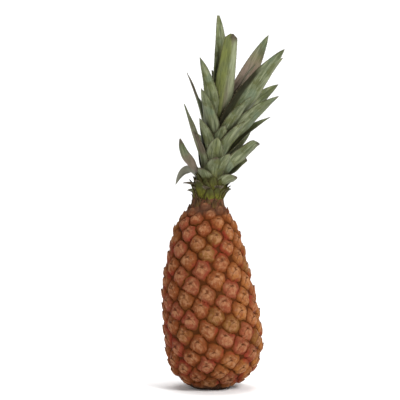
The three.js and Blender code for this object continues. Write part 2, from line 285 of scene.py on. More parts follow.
def piece_from(name, points, faces, looks=None, crease=None):
    """A piece at the origin with its place in its mesh, faces outwards, smooth below a crease's degrees."""
    mesh = bpy.data.meshes.new(name)
    mesh.from_pydata([tuple(p) for p in points], [], faces)
    add_looks(mesh, looks or {})
    work = bmesh.new()
    work.from_mesh(mesh)
    bmesh.ops.recalc_face_normals(work, faces=work.faces)
    work.to_mesh(mesh)
    work.free()
    mesh.shade_smooth()
    if crease:
        mesh.set_sharp_from_angle(angle=math.radians(crease))
    return add_object(name, mesh)


def finish_piece(piece, material, slot, *nodes):
    """The piece takes its material, rides on the body and stands for the nodes named."""
    if material:
        piece.data.materials.clear()
        piece.data.materials.append(material)
    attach(piece, BODY)
    if nodes:
        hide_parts(*nodes)


def grown(name, points, edges, looks, tree, inputs):
    """The plain mesh that a node tree makes of bare points and lines, with what it reads on them."""
    mesh = bpy.data.meshes.new(name + "_points")
    mesh.from_pydata([tuple(p) for p in points], edges, [])
    add_looks(mesh, looks)
    carrier = add_object(mesh.name, mesh)
    modifier = carrier.modifiers.new("grow", "NODES")
    modifier.node_group = tree
    for item in tree.interface.items_tree:
        if item.item_type == "SOCKET" and item.in_out == "INPUT" and item.name in inputs:
            modifier[item.identifier] = inputs[item.name]
    evaluated = carrier.evaluated_get(bpy.context.evaluated_depsgraph_get())
    result = bpy.data.meshes.new_from_object(evaluated)
    result.name = name
    carrier.modifiers.remove(modifier)
    bpy.data.objects.remove(carrier)
    bpy.data.node_groups.remove(tree)
    return add_object(name, result)


def tube_faces(rings, columns):
    """Quads between rings of points, each ring with as many points as there are columns."""
    faces = []
    for low in range(0, (rings - 1) * columns, columns):
        high = low + columns
        for j in range(columns):
            k = (j + 1) % columns
            faces.append((low + j, low + k, high + k, high + j))
    return faces


def closed_tube_faces(rings, columns):
    """The same with its ends closed round the last two points, the first ring's middle and the last's."""
    faces = tube_faces(rings, columns)
    middle, last = rings * columns, (rings - 1) * columns
    for j in range(columns):
        k = (j + 1) % columns
        faces += [(middle, k, j), (last + j, last + k, middle + 1)]
    return faces


def turned(profile, columns):
    """A profile of radii and heights turned round the upright axis, then the middles of its two ends."""
    turn = np.arange(columns) * 2 * math.pi / columns
    rings = [outward(turn) * r + UP * z for r, z in profile]
    return np.vstack([*rings, UP * profile[0][1], UP * profile[-1][1]])


def shell_faces(base, rows, columns):
    """Quads of a closed shell whose upper grid comes first and whose lower grid lies under it."""
    def at(side, i, j):
        return base + (side * rows + i) * columns + j

    faces = []
    for i in range(rows - 1):
        for j in range(columns - 1):
            faces.append((at(0, i, j), at(0, i, j + 1), at(0, i + 1, j + 1), at(0, i + 1, j)))
            faces.append((at(1, i, j), at(1, i + 1, j), at(1, i + 1, j + 1), at(1, i, j + 1)))
        for j in (0, columns - 1):
            faces.append((at(0, i, j), at(0, i + 1, j), at(1, i + 1, j), at(1, i, j)))
    for i in (0, rows - 1):
        for j in range(columns - 1):
            faces.append((at(0, i, j), at(1, i, j), at(1, i, j + 1), at(0, i, j + 1)))
    return faces


def paint_occlusion_shade(piece, reach, rays=14):
    """Adds how closely the piece hems in each of its own points, from 0 in the open to 1: the share of
    painted shade that point gets.
    """
    mesh = piece.data
    tree = BVHTree.FromPolygons([v.co for v in mesh.vertices], [list(p.vertices) for p in mesh.polygons])
    share = (np.arange(rays) + 0.5) / rays
    fan = outward(np.arange(rays) * GOLDEN_TURN) * np.sqrt(share)[:, None] + UP * np.sqrt(1 - share)[:, None]
    fan = [Vector(d) for d in fan]
    hidden = []
    for vertex in mesh.vertices:
        turn = vertex.normal.to_track_quat("Z", "Y").to_matrix()
        start = vertex.co + vertex.normal * (0.4 * MM)
        hidden.append(sum(tree.ray_cast(start, turn @ d, reach)[0] is not None for d in fan) / rays)
    add_looks(mesh, {"crowded": hidden})


# The fruit's form

class FruitForm:
    """The fruit's outline and axis, and the spiral of its eyes."""

    def __init__(self):
        curve = curve_through(FRUIT_OUTLINE[::-1], 1500)
        lengths = np.r_[0, np.cumsum(np.hypot(*np.diff(curve, axis=0).T))]
        self.along = np.linspace(0, lengths[-1], 1201)
        self.r = np.interp(self.along, lengths, curve[:, 0]).clip(0)
        self.z = np.interp(self.along, lengths, curve[:, 1])
        dr, dz = np.gradient(self.r), np.gradient(self.z)
        size = np.hypot(dr, dz)
        self.nr, self.nz = -dz / size, dr / size
        eye_size = 1 - sum(share * smooth(self.z, low, high) for share, low, high in EYE_SHRINK)
        rate = 2 * math.pi * self.r / eye_size**2
        self.area = np.r_[0, np.cumsum((rate[1:] + rate[:-1]) / 2 * np.diff(self.along))]
        self.axis = curve_through([(z, x) for x, z in FRUIT_AXIS], 400)
        self.place_eyes()

    def place_eyes(self):
        n = np.arange(EYE_COUNT)
        area = (n + 0.5) / EYE_COUNT * self.area[-1]
        around = 2 * math.pi * np.interp(area, self.area, self.r)
        self.eye_along = np.interp(area + EYE_SWAY * np.sin(2.3 * n) * around, self.area, self.along)
        self.eye_turn = FIRST_EYE_TURN + n * GOLDEN_TURN + 2 * math.pi * EYE_SWAY * np.sin(1.7 * n) / around
        self.eyes, normals = self.surface(self.eye_along, self.eye_turn)
        self.sides = sideways(self.eye_turn)
        self.ups = np.cross(normals, self.sides)
        self.apart = np.linalg.norm(self.eyes[:, None] - self.eyes, axis=2)
        self.eye_radius = np.sort(self.apart, axis=1)[:, 1:EYE_NEIGHBOURS + 1].mean(1) / 2

    def surface(self, along, turn):
        """Points over the eyes' tops, about the straight axis, and the normals there."""
        measures = (self.r, self.z, self.nr, self.nz)
        r, z, nr, nz = (np.interp(along, self.along, row)[..., None] for row in measures)
        return outward(turn) * r + UP * z, unit(outward(turn) * nr + UP * nz)

    def along_at(self, height):
        return np.interp(-height, -self.z, self.along)

    def stand(self, points):
        """From the fruit's own straight axis to where it stands."""
        moved = np.array(points, float)
        moved[:, 0] += np.interp(moved[:, 2], self.axis[:, 0], self.axis[:, 1])
        return moved


FRUIT = FruitForm()


def eye_relief(points, settings):
    """Height over the outline at points of the skin, in millimetres, and what their colour follows."""
    noise.seed_set(settings.seed)  # without it the waver would differ from run to run
    waver = EYE_WAVER * noise_at(points, 0.13, noise.noise_vector)
    to_eyes = (points + waver)[:, None] - FRUIT.eyes
    squares = (to_eyes**2).sum(2)
    near = np.argsort(squares, axis=1)[:, :EYE_NEIGHBOURS + 1]
    row, own = np.arange(len(points)), near[:, 0]
    radius = FRUIT.eye_radius[own]
    from_middle = np.sqrt(squares[row, own])
    sums = np.exp(-(EYE_ROUND * radius - from_middle) / EYE_SOFTNESS)
    for other in near.T[1:]:
        to_edge = (squares[row, other] - squares[row, own]) / (2 * FRUIT.apart[own, other])
        sums += np.exp(-to_edge / EYE_SOFTNESS)
    edge = -EYE_SOFTNESS * np.log(sums)
    arm = to_eyes[row, own]
    u = (arm * FRUIT.sides[own]).sum(1) / radius
    v = (arm * FRUIT.ups[own]).sum(1) / radius
    spread = from_middle / radius

    wobble = noise_at(points, 0.16)
    fine = noise_at(points, 0.5, noise.fractal, 0.7, 2.0, 3)
    inside = np.clip((edge + 0.5 * wobble + 0.25 * fine) / (0.5 * radius), 0, 1)
    high = -settings.groove_depth / MM * (1 - inside) ** 2.2 - EYE_DOME * np.clip(spread, 0, 1) ** 2

    upper = smooth(v, -0.2, 0.2)
    pit = np.exp(-((u / PIT_SIZE) ** 2 + ((v - PIT_UP) / PIT_SIZE) ** 2))
    creases = np.abs(np.cos(1.5 * np.arctan2(v - PIT_UP, u) - math.pi / 4)) ** 8
    star = creases * smooth(inside, 0.15, 0.5) * upper
    ring = np.exp(-(((spread - RING_OUT) / RING_WIDTH) ** 2)) * upper
    high += -PIT_DEPTH * pit - STAR_DEPTH * star - RING_DEPTH * ring + FINE_HEIGHT * fine * (0.3 + inside)

    neck = smooth(points[:, 2], NECK_FROM, NECK_TOP - 6)
    high *= lerp(1, 0.45, neck)
    trimmed = smooth(points[:, 2] + 1.2 * wobble, 5.0, 1.5)
    high = lerp(high, -TRIM_DEPTH, 0.75 * trimmed)
    tones = np.random.default_rng(settings.seed).random((EYE_COUNT, 2))
    return high, {
        "plate": inside, "pit": pit, "ring": np.maximum(ring, star), "middle": 1 - np.clip(spread, 0, 1),
        "tone": tones[own, 0], "pink": tones[own, 1], "trimmed": trimmed, "neck": neck,
    }


def on_skin(along, turn, lift, settings):
    """Points a little over the skin itself, with what their colour follows."""
    points, normals = FRUIT.surface(along, turn)
    high, looks = eye_relief(points, settings)
    return FRUIT.stand(points + normals * (high + lift)[:, None]), looks


def fruit_skin(settings):
    """The fruit's whole skin: its body, the trimmed base with the stalk's pocket, and the neck's top."""
    turn = np.arange(SKIN_COLUMNS) * 2 * math.pi / SKIN_COLUMNS
    along = np.repeat(np.linspace(*FRUIT.along_at(np.array([NECK_TOP, 0])), SKIN_ROWS), SKIN_COLUMNS)
    skin, looks = on_skin(along, np.tile(turn, SKIN_ROWS), 0 * along, settings)
    skin[:, 2] = np.clip(skin[:, 2], 0, NECK_TOP)

    pocket = outward(turn) * (STALK_RADIUS + STALK_GAP)
    rows = []
    for share in np.linspace(0, 1, BASE_RINGS)[1:]:
        flat = lerp(skin[-SKIN_COLUMNS:], pocket, share)
        flat[:, 2] = BASE_ROUGHNESS * math.sin(math.pi * share) * (0.5 + 0.5 * noise_at(flat, 0.8))
        rows.append(flat)
    deepest = STALK_DEPTH + STALK_GAP
    for height in (1.5, 5, deepest):
        rows.append(pocket + UP * height)
    ends = [[skin[:SKIN_COLUMNS, 0].mean(), 0, NECK_TOP], [0, 0, deepest]]
    points = np.vstack([skin, *rows, ends])
    for title, values in looks.items():
        beyond = 1.0 if title in ("trimmed", "plate") else 0.0
        looks[title] = np.r_[values, np.full(len(points) - len(skin), beyond)]
    faces = closed_tube_faces(SKIN_ROWS + len(rows), SKIN_COLUMNS)
    return piece_from("fruit_skin", points * MM, faces, looks, 50)


def bract_flaps(settings):
    """The bract over the lower half of every eye: a broad scale that ends in a dry point."""
    rng = np.random.default_rng(settings.seed + 1)
    rows, columns = FLAP_STEPS + 1, FLAP_COLUMNS + 1
    t = np.repeat(np.linspace(0, 1, rows), columns)
    a = np.tile(np.linspace(-1, 1, columns), rows)
    wide = 0.76 * np.minimum(1, 0.78 + 0.7 * t) * np.maximum(0.002, 1 - t**2.4) ** 0.75
    lip = settings.bract_lip / MM * smooth(t, 0.1, 0.55) * (1 - 0.4 * a**4 * (1 - t))
    lip = lip - 0.4 * (1 - smooth(t, 0, 0.3)) + 0.45 * (1 - np.abs(a)) ** 2 * t
    faces, points, looks = [], [], {}
    for eye in range(EYE_COUNT):
        if not FLAP_FROM < FRUIT.eyes[eye, 2] < FLAP_TO:
            continue
        radius = FRUIT.eye_radius[eye]
        lean, size, curl = rng.uniform(-0.09, 0.09), rng.uniform(0.9, 1.08), rng.uniform(0.3, 1.0)
        u = (wide * a * size + lean * t**2) * radius
        v = (-0.98 + (1.24 * t - 0.1 * a**2 * (1 - t)) * size) * radius
        along = FRUIT.eye_along[eye] - v
        turn = FRUIT.eye_turn[eye] + u / np.interp(along, FRUIT.along, FRUIT.r)
        lift = lip + settings.point_lift / MM * curl * t**6
        upper, flap_looks = on_skin(along, turn, lift, settings)
        lower, _ = on_skin(along, turn, np.maximum(-0.5, lift - 0.9) - 0.15, settings)
        faces += shell_faces(len(points), rows, columns)
        points += [*upper, *lower]
        flap_looks.update({"along": t, "across": a, "tone": t * 0 + flap_looks["tone"][len(t) // 2]})
        for title, values in flap_looks.items():
            looks.setdefault(title, []).append(np.tile(values, 2))
    looks = {title: np.concatenate(values) for title, values in looks.items()}
    return piece_from("bract_flaps", np.array(points) * MM, faces, looks, 50)


def stalk_cut():
    """The cut end of the stalk: a rough face, a worn edge, and the sides that go up into the pocket."""
    profile = [(share * (STALK_RADIUS - STALK_BEVEL), 0) for share in np.linspace(0.08, 1, STALK_FACE_RINGS)]
    profile += [(STALK_RADIUS - 0.35 * STALK_BEVEL, 0.35 * STALK_BEVEL), (STALK_RADIUS, STALK_BEVEL)]
    profile += [(STALK_RADIUS, 5), (STALK_RADIUS, STALK_DEPTH)]
    points = turned(profile, STALK_COLUMNS)
    face = points[:STALK_FACE_RINGS * STALK_COLUMNS]
    rough = STALK_ROUGHNESS * noise_at(face + UP * 3, 0.9, noise.fractal, 0.7, 2.0, 3).clip(0)
    face[:, 2] += rough * (1 - np.hypot(face[:, 0], face[:, 1]) / STALK_RADIUS)
    return piece_from("stalk_cut", points * MM, closed_tube_faces(len(profile), STALK_COLUMNS), None, 50)


# Node trees for what repeats

class Nodes:
    """A node tree that is built up one node at a time."""

    def node(self, kind, inputs=None, output=0, **settings):
        """Adds a node with its settings, its inputs joined to sockets or set to values, for one output."""
        made = self.tree.nodes.new(kind)
        for title, value in settings.items():
            setattr(made, title, value)
        for key, value in (inputs or {}).items():
            if isinstance(value, bpy.types.NodeSocket):
                self.tree.links.new(made.inputs[key], value)
            else:
                made.inputs[key].default_value = value
        return made.outputs[output]

    def math(self, operation, a, b=0.0):
        return self.node("ShaderNodeMath", {0: a, 1: b}, operation=operation)

    def times(self, a, b):
        return self.math("MULTIPLY", a, b)


class Growth(Nodes):
    """A tree that sets a thing out on points, with named inputs."""

    def __init__(self, name, sockets):
        self.tree = bpy.data.node_groups.new(name, "GeometryNodeTree")
        self.tree.is_modifier = True
        sockets = [("Geometry", "Geometry", None), *sockets, ("Material", "Material", None)]
        for title, kind, default in sockets:
            socket = self.tree.interface.new_socket(title, in_out="INPUT", socket_type="NodeSocket" + kind)
            if default is not None:
                socket.default_value = default
        self.tree.interface.new_socket("Geometry", in_out="OUTPUT", socket_type="NodeSocketGeometry")
        self.flow = self.tree.nodes.new("NodeGroupInput").outputs

    def named(self, title, kind="FLOAT"):
        return self.node("GeometryNodeInputNamedAttribute", {"Name": title}, data_type=kind)

    def vector(self, operation, inputs):
        return self.node("ShaderNodeVectorMath", inputs, operation=operation)

    def facing(self, vector, **settings):
        return self.node("FunctionNodeAlignRotationToVector", {"Vector": vector}, **settings)

    def set_out(self, points, instance, rotation, scale):
        """Every tree ends in real geometry with its material set."""
        place = {"Points": points, "Instance": instance, "Rotation": rotation, "Scale": scale}
        copies = self.node("GeometryNodeInstanceOnPoints", place)
        real = self.node("GeometryNodeRealizeInstances", {0: copies})
        painted = self.node("GeometryNodeSetMaterial", {"Geometry": real, "Material": self.flow["Material"]})
        self.tree.links.new(self.tree.nodes.new("NodeGroupOutput").inputs[0], painted)
        return self.tree


def scales_tree():
    """A scale on every point, its root at the point, its face along 'out' and its tip along 'up'."""
    g = Growth("Scales on points", [
        ("Scale leaf", "Object", None), ("Size", "Float", 1.0), ("Size change", "Float", 0.15),
        ("Tilt change", "Float", 0.12), ("Seed", "Int", 3),
    ])
    flow = g.flow
    upright = g.facing(g.named("up", "FLOAT_VECTOR"), axis="Y", pivot_axis="Z")
    g.tree.links.new(upright.node.inputs["Rotation"], g.facing(g.named("out", "FLOAT_VECTOR"), axis="Z"))
    most = g.vector("SCALE", {0: (1, 1, 1), "Scale": flow["Tilt change"]})
    tilts = {"Min": g.vector("SCALE", {0: most, "Scale": -1}), "Max": most, "Seed": flow["Seed"]}
    tilt = g.node("FunctionNodeRandomValue", tilts, data_type="FLOAT_VECTOR")
    turns = {"Rotation": upright, "Rotate By": g.node("FunctionNodeEulerToRotation", {"Euler": tilt})}
    rotation = g.node("FunctionNodeRotateRotation", turns, rotation_space="LOCAL")
    low, high = (g.math(operation, 1, flow["Size change"]) for operation in ("SUBTRACT", "ADD"))
    vary = g.node("FunctionNodeRandomValue", {2: low, 3: high, "Seed": flow["Seed"]}, 1, data_type="FLOAT")
    size = g.times(g.times(vary, g.named("size")), flow["Size"])
    leaf = g.node("GeometryNodeObjectInfo", {"Object": flow["Scale leaf"]}, "Geometry")
    return g.set_out(flow["Geometry"], leaf, rotation, size)


def spines_tree():
    """Small spines along edge lines, pointing out and towards the leaf's tip."""
    g = Growth("Spines along edges", [
        ("Spacing", "Float", 0.006), ("Length", "Float", 0.0011), ("Thickness", "Float", 0.0003),
        ("Lean", "Float", 0.8),
    ])
    line = g.node("GeometryNodeMeshToCurve", {"Mesh": g.flow["Geometry"]})
    dots = g.node("GeometryNodeCurveToPoints", {"Curve": line, "Length": g.flow["Spacing"]}, mode="LENGTH")
    lean = g.vector("SCALE", {0: dots.node.outputs["Tangent"], "Scale": g.flow["Lean"]})
    aim = g.vector("ADD", {0: g.named("out", "FLOAT_VECTOR"), 1: lean})
    cone = {"Vertices": SPINE_SIDES, "Radius Bottom": g.flow["Thickness"], "Depth": g.flow["Length"]}
    return g.set_out(dots, g.node("GeometryNodeMeshCone", cone), g.facing(aim, axis="Z"), g.named("size"))


def scale_leaf(name, length, width, thick, lift, curl, cup):
    """One dry scale, its root at the origin and its tip towards +Y, cupped and lifting off +Z."""
    t = np.repeat(np.linspace(0, 1, SCALE_STEPS + 1), SCALE_COLUMNS + 1)
    a = np.tile(np.linspace(-1, 1, SCALE_COLUMNS + 1), SCALE_STEPS + 1)
    half = width / 2 * np.minimum(1, 0.6 + 1.5 * t) * np.maximum(0.002, 1 - t**2.2) ** 0.8
    high = lift * t**1.6 + curl * t**5 - cup * width * a**2 * (1 - 0.5 * t)
    shell = np.vstack([np.stack([a * half, t * length, high + side * thick / 2], 1) for side in (1, -1)])
    looks = {"along": np.tile(t, 2), "across": np.tile(a, 2)}
    return piece_from(name, shell * MM, shell_faces(0, SCALE_STEPS + 1, SCALE_COLUMNS + 1), looks)


def set_out_scales(name, form, points, outs, ups, sizes, finish, slot):
    """Copies of one dry scale at each point, made one plain piece. Their sizes are drawn anew."""
    seed, least, most = sizes
    leaf = scale_leaf(name + "_leaf", **form)
    drawn = np.random.default_rng(seed).uniform(least, most, len(points))
    looks = {"out": outs, "up": ups, "size": drawn}
    piece = grown(name, points * MM, [], looks, scales_tree(), {"Scale leaf": leaf, "Material": finish})
    bpy.data.objects.remove(leaf)
    finish_piece(piece, None, slot)


# The crown's form

def stem_radius(height):
    share = np.clip((height - STEM_WAIST[1]) / (STEM_TOP[1] - STEM_WAIST[1]), 0, 1)
    return lerp(STEM_WAIST[0], STEM_TOP[0], share)


def leaf_plan(n):
    """How leaf n grows. The collar's leaves come before the first, with numbers below 0."""
    age = max(0, n) / (LEAF_COUNT - 1)
    spread, gather = smooth(age, 0, 0.45), smooth(age, 0.6, 1)
    ranges = (LEAF_REACH, LEAF_WIDTH)
    reach, width = (lerp(lerp(low, most, spread), inner, gather) for low, most, inner in ranges)
    plan = {
        "turn": 0, "start": lerp(6, STEM_TOP[1] - 8, age), "rooted": lerp(0.9, 0.45, age),
        "rise": LEAF_RISE_FIRST + n * LEAF_RISE_STEP, "reach": reach, "width": width,
        "bow": LEAF_BOW, "twist": 0, "cut": 1, "curl": 0, "dry": LOW_DRY if n < LOW_LEAVES else LEAF_DRY,
        "pale": 0, "gold": 0, "blush": 0, "blush_to": 0.8, "blush_side": 0, "shade_from": 1, "rim": 0,
        "tone": None, "age": age,
    }
    if n < 0:
        ranges = (COLLAR_START, COLLAR_RISE, COLLAR_REACH)
        start, rise, reach = (lerp(*ends, -n / COLLAR_LEAVES) for ends in ranges)
        plan.update(start=start, rise=rise, reach=reach, width=COLLAR_WIDTH, dry=COLLAR_DRY)
    if n in LEAF_CHANGES:
        reach, rise, others = LEAF_CHANGES[n]
        plan.update(reach=reach, rise=rise, **others)
    plan["turn"] = n * GOLDEN_TURN + math.radians(plan["turn"])
    return plan


def leaf_rows(plan, rng):
    """The leaf's spine, its sideways and inward directions and its half width, step by step."""
    out, level = outward(plan["turn"]), sideways(plan["turn"])
    root = out * plan["rooted"] * stem_radius(plan["start"]) + UP * plan["start"]
    tip = out * plan["reach"] + UP * plan["rise"]
    chord = tip - root
    crest = root + chord / 2 + np.cross(chord, level) * 2 * plan["bow"]
    t = np.linspace(0, 1, LEAF_STEPS + 1) ** 0.92
    w = t[:, None]
    spine = root * (1 - w) ** 2 + crest * 2 * w * (1 - w) + tip * w**2
    along = unit((crest - root) * (1 - w) + (tip - crest) * w)
    twist = math.radians(plan["twist"]) * smooth(t, 0.1, 0.6)
    side = level * np.cos(twist)[:, None] + np.cross(along, level) * np.sin(twist)[:, None]
    inner = -np.cross(side, along)
    length = np.linalg.norm(chord)
    cut_t = t * plan["cut"]
    half = plan["width"] / 2 * np.minimum(1, 0.55 + 1.6 * cut_t) * (1 - cut_t**2.6) ** 0.8
    half = np.maximum(half, 0.25)
    if plan["cut"] <= BLUNT_CUT:
        half *= np.sqrt(1 - 0.93 * np.clip((t - BLUNT_FROM) / (1 - BLUNT_FROM), 0, 1) ** 3)
    phase = rng.random(3) * 2 * math.pi
    sway = 0.010 * length * smooth(t, 0.15, 1)
    spine = spine + inner * (sway * np.sin(5.5 * t + phase[0]) * 0.6)[:, None]
    spine = spine + side * (sway * np.sin(4 * t + phase[1]) * 0.5)[:, None]
    spine = spine - inner * (plan["curl"] * 3 * np.clip((t - 0.9) / 0.1, 0, 1) ** 2)[:, None]
    return t, spine, side, inner, half, length, phase[2]


def leaf_blade(plan, rng):
    """One leaf's points, looks and its two edge lines."""
    t, spine, side, inner, half, length, phase = leaf_rows(plan, rng)
    a = np.linspace(-1, 1, LEAF_COLUMNS)
    ripple = 0.35 * np.sin(t[:, None] * length / 5 + phase + 1.6 * np.sign(a)) * np.abs(a) ** 4
    lift = (half * (0.5 - 0.2 * t))[:, None] * np.abs(a) ** 1.45 + ripple * smooth(t, 0.1, 0.4)[:, None]
    centre = spine[:, None] + side[:, None] * (a * half[:, None] * 0.94)[..., None]
    centre = centre + inner[:, None] * lift[..., None]
    thick = lerp(lerp(LEAF_MIDDLE, LEAF_EDGE, t)[:, None], LEAF_EDGE, np.abs(a)) * 0.5
    skin = inner[:, None] * thick[..., None]
    points = np.concatenate([centre + skin, (centre - skin)[:, ::-1]], axis=1).reshape(-1, 3)

    ring = 2 * LEAF_COLUMNS
    run, flat = np.repeat(t, ring), np.ones(len(points))
    spread = np.tile(np.r_[a, a[::-1]], LEAF_STEPS + 1)
    # Leaf points close to the stem and low in the crown: painted shade on the upper leaves' bases, the foot's
    # own colour on the lowest leaves
    clear = np.hypot(spine[:, 0], spine[:, 1]) - stem_radius(spine[:, 2])
    deep = smooth(clear, 9, 1) * smooth(spine[:, 2], 100, 60)
    own_tone = 0.8 * rng.random()
    shaded = smooth(-spread, plan["shade_from"], plan["shade_from"] + 0.22) * smooth(run, 0.82, 0.7)
    curled = plan["curl"] * smooth(run, 0.955, 0.975) * smooth(spread, -0.5, 0.1)
    sided = np.maximum(smooth(spread, -0.1, 0.4), 1 - plan["blush_side"])
    # Painted highlight: a pale stripe along the rolled margin of a gold leaf, and along the margin that 'rim'
    # picks
    rolled_highlight = plan["gold"] * smooth(spread, 0.25, 0.5)
    looks = {
        "along": run, "across": spread, "inward": np.tile(np.r_[a * 0 + 1, a * 0], LEAF_STEPS + 1),
        "span": spread * np.repeat(half, ring) * MM, "run": run * length * MM,
        "tone": flat * (own_tone if plan["tone"] is None else plan["tone"]), "age": flat * plan["age"],
        "dry": plan["dry"] + 0.04 * plan["curl"] * smooth(spread, -0.4, 0.2), "pale": flat * plan["pale"],
        "gold": plan["gold"] * smooth(-spread, -0.35, 0.1),
        "blush": plan["blush"] * smooth(run, plan["blush_to"] + 0.15, plan["blush_to"] - 0.15) * sided,
        "shadow": np.maximum(shaded, curled), "deep": np.repeat(deep, ring),
        "roll": np.maximum(rolled_highlight, smooth(spread * plan["rim"], 0.72, 0.86)),
    }
    spines = np.clip(half / 4, 0.3, 1) * smooth(t, 0.02, 0.2)
    edges = [(centre[:, column], side * sign, spines) for column, sign in ((0, -1), (-1, 1))]
    return points, looks, edges


def leaf_faces():
    """Faces of one closed blade: its sides, then its root and its tip."""
    ring = 2 * LEAF_COLUMNS
    faces = tube_faces(LEAF_STEPS + 1, ring)
    for low in (0, LEAF_STEPS * ring):
        for j in range(LEAF_COLUMNS - 1):
            faces.append((low + j, low + j + 1, low + ring - 2 - j, low + ring - 1 - j))
    return np.array(faces)


CROWN_FOOT = FRUIT.stand([[0, 0, NECK_TOP]])[0]
CROWN_TURN = np.array(Matrix.Rotation(CROWN_LEAN, 3, "Y"))


def on_crown(rows):
    return rows @ CROWN_TURN.T + CROWN_FOOT


def crown_leaves(settings):
    """All blades as one piece, and their edge lines."""
    rng = np.random.default_rng(settings.seed)
    blades = [leaf_blade(leaf_plan(n), rng) for n in range(-COLLAR_LEAVES, LEAF_COUNT)]
    points = np.vstack([on_crown(rows) for rows, _, _ in blades])
    size = len(points) // len(blades)
    faces = np.vstack([leaf_faces() + size * k for k in range(len(blades))]).tolist()
    looks = {title: np.concatenate([own[title] for _, own, _ in blades]) for title in blades[0][1]}
    piece = piece_from("crown_leaves", points * MM, faces, looks, 60)
    paint_occlusion_shade(piece, OCCLUSION_SHADE_REACH)
    return piece, [edge for _, _, edges in blades for edge in edges]


def crown_stem():
    profile = curve_through(STEM_PROFILE, STEM_RINGS)
    points = turned(profile, STEM_COLUMNS)
    points[-1, 2] += 1
    return piece_from("crown_stem", on_crown(points) * MM, closed_tube_faces(len(profile), STEM_COLUMNS))


def leaf_spines(edges, settings):
    """Spines along the blades' edge lines."""
    points, outs, sizes, lines = [], [], [], []
    for line, out, size in edges:
        lines += [(i, i + 1) for i in range(len(points), len(points) + len(line) - 1)]
        points += list(on_crown(line) * MM)
        outs += list(out @ CROWN_TURN.T)
        sizes += list(size)
    inputs = {
        "Spacing": settings.spine_spacing, "Length": settings.spine_length,
        "Thickness": SPINE_SLIMNESS * settings.spine_length, "Material": spine_finish(),
    }
    return grown("leaf_spines", points, lines, {"out": outs, "size": sizes}, spines_tree(), inputs)


# Materials

class Finish(Nodes):
    """A material and its node tree. A colour is a socket or three numbers."""

    def __init__(self, name, gloss):
        self.material = bpy.data.materials.new(name)
        self.material.use_nodes = True
        self.tree = self.material.node_tree
        self.shader = self.tree.nodes["Principled BSDF"]
        self.shader.inputs["Specular IOR Level"].default_value = gloss
        self.place = self.node("ShaderNodeTexCoord", output="Object")

    def look(self, title):
        return self.node("ShaderNodeAttribute", output="Fac", attribute_name=title)

    def frayed(self, value, speckle, amount):
        """A value whose edges are broken up by speckles."""
        return self.math("ADD", value, self.times(self.math("SUBTRACT", speckle, 0.5), amount))

    def ramp(self, value, low, high, to_low=0.0, to_high=1.0):
        inputs = {"Value": value, "From Min": low, "From Max": high, "To Min": to_low, "To Max": to_high}
        return self.node("ShaderNodeMapRange", inputs, interpolation_type="SMOOTHSTEP")

    def mix(self, share, under, over):
        under, over = (c if isinstance(c, bpy.types.NodeSocket) else (*c, 1.0) for c in (under, over))
        return self.node("ShaderNodeMix", {0: share, 6: under, 7: over}, 2, data_type="RGBA")

    def coats(self, under, layers):
        """Colours laid on one by one, each up to its share as a value goes from low to high."""
        for colour, value, low, high, share in layers:
            under = self.mix(self.ramp(value, low, high, 0, share), under, colour)
        return under

    def speckle(self, scale, detail, place=None, stretch=None):
        place = place or self.place
        if stretch:
            place = self.node("ShaderNodeMapping", {"Vector": place, "Scale": stretch})
        inputs = {"Vector": place, "Scale": scale, "Detail": detail, "Roughness": 0.55}
        return self.node("ShaderNodeTexNoise", inputs)

    def bump(self, height, distance, strength, under=None):
        inputs = {"Height": height, "Distance": distance, "Strength": strength}
        if under:
            inputs["Normal"] = under
        return self.node("ShaderNodeBump", inputs)

    def wear(self, colour, roughness, normal=None):
        for title, value in (("Base Color", colour), ("Roughness", roughness), ("Normal", normal)):
            if value:
                self.tree.links.new(self.shader.inputs[title], value)
        return self.material


def rind_colour(f, settings):
    """The rind's colour. Each eye has its own tone, a pale mottled middle that is a painted highlight and a
    darker rim that is painted shade.
    The whole fruit is warmer and lighter on the +X side: partly riper colour, partly painted light from the
    side the main light falls on."""
    patch, mottle, grain = f.speckle(26, 2), f.speckle(230, 3), f.speckle(620, 3)
    east = f.node("ShaderNodeSeparateXYZ", {"Vector": f.place}, "X")
    middle = f.frayed(f.look("middle"), mottle, 0.6)
    plate = f.frayed(f.look("plate"), mottle, 0.3)
    # Painted light: the +X side, towards the main light, is painted lighter as well as more orange
    lit_ripe_side = f.ramp(f.frayed(east, patch, 0.06), 0.0, 0.06)
    eye = f.coats(f.mix(lit_ripe_side, settings.eye_colour, settings.ripe_lit_colour), [
        (settings.green_colour, f.look("tone"), 0.55, 0.95, 0.75),
        (settings.pink_colour, f.look("pink"), 0.5, 0.95, 0.7),
        (settings.spot_colour, mottle, 0.52, 0.64, 0.6),
        # Painted shade: each eye darkens from its middle towards its rim, where it falls away into the groove
        (settings.rim_colour, middle, 0.28, 0.02, 0.45),
    ])
    # Painted highlight: pale mottled glints in the eyes' middles, where each dome stands highest
    pale = f.times(f.ramp(middle, 0.12, 0.5), f.ramp(f.speckle(240, 2), 0.4, 0.64, 0.1, 0.7))
    eye = f.mix(pale, eye, settings.pale_colour)
    olive = f.ramp(f.speckle(55, 1), 0.5, 0.62, 0, 0.75)
    groove = f.mix(olive, settings.groove_colour, settings.olive_colour)
    skin = f.mix(f.ramp(plate, 0.02, 0.3), groove, eye)
    flush = f.times(f.ramp(f.speckle(42, 2), 0.54, 0.66), f.ramp(plate, 0.9, 0.3, 0, 0.65))
    skin = f.coats(f.mix(flush, skin, settings.red_colour), [
        # Painted shade: the groove's lowest line is darkened where it is deepest
        (settings.seam_colour, plate, 0.2, 0.0, 0.95),
        (settings.neck_colour, f.look("neck"), 0.38, 0.88, 0.82),
    ])
    return skin, mottle, grain


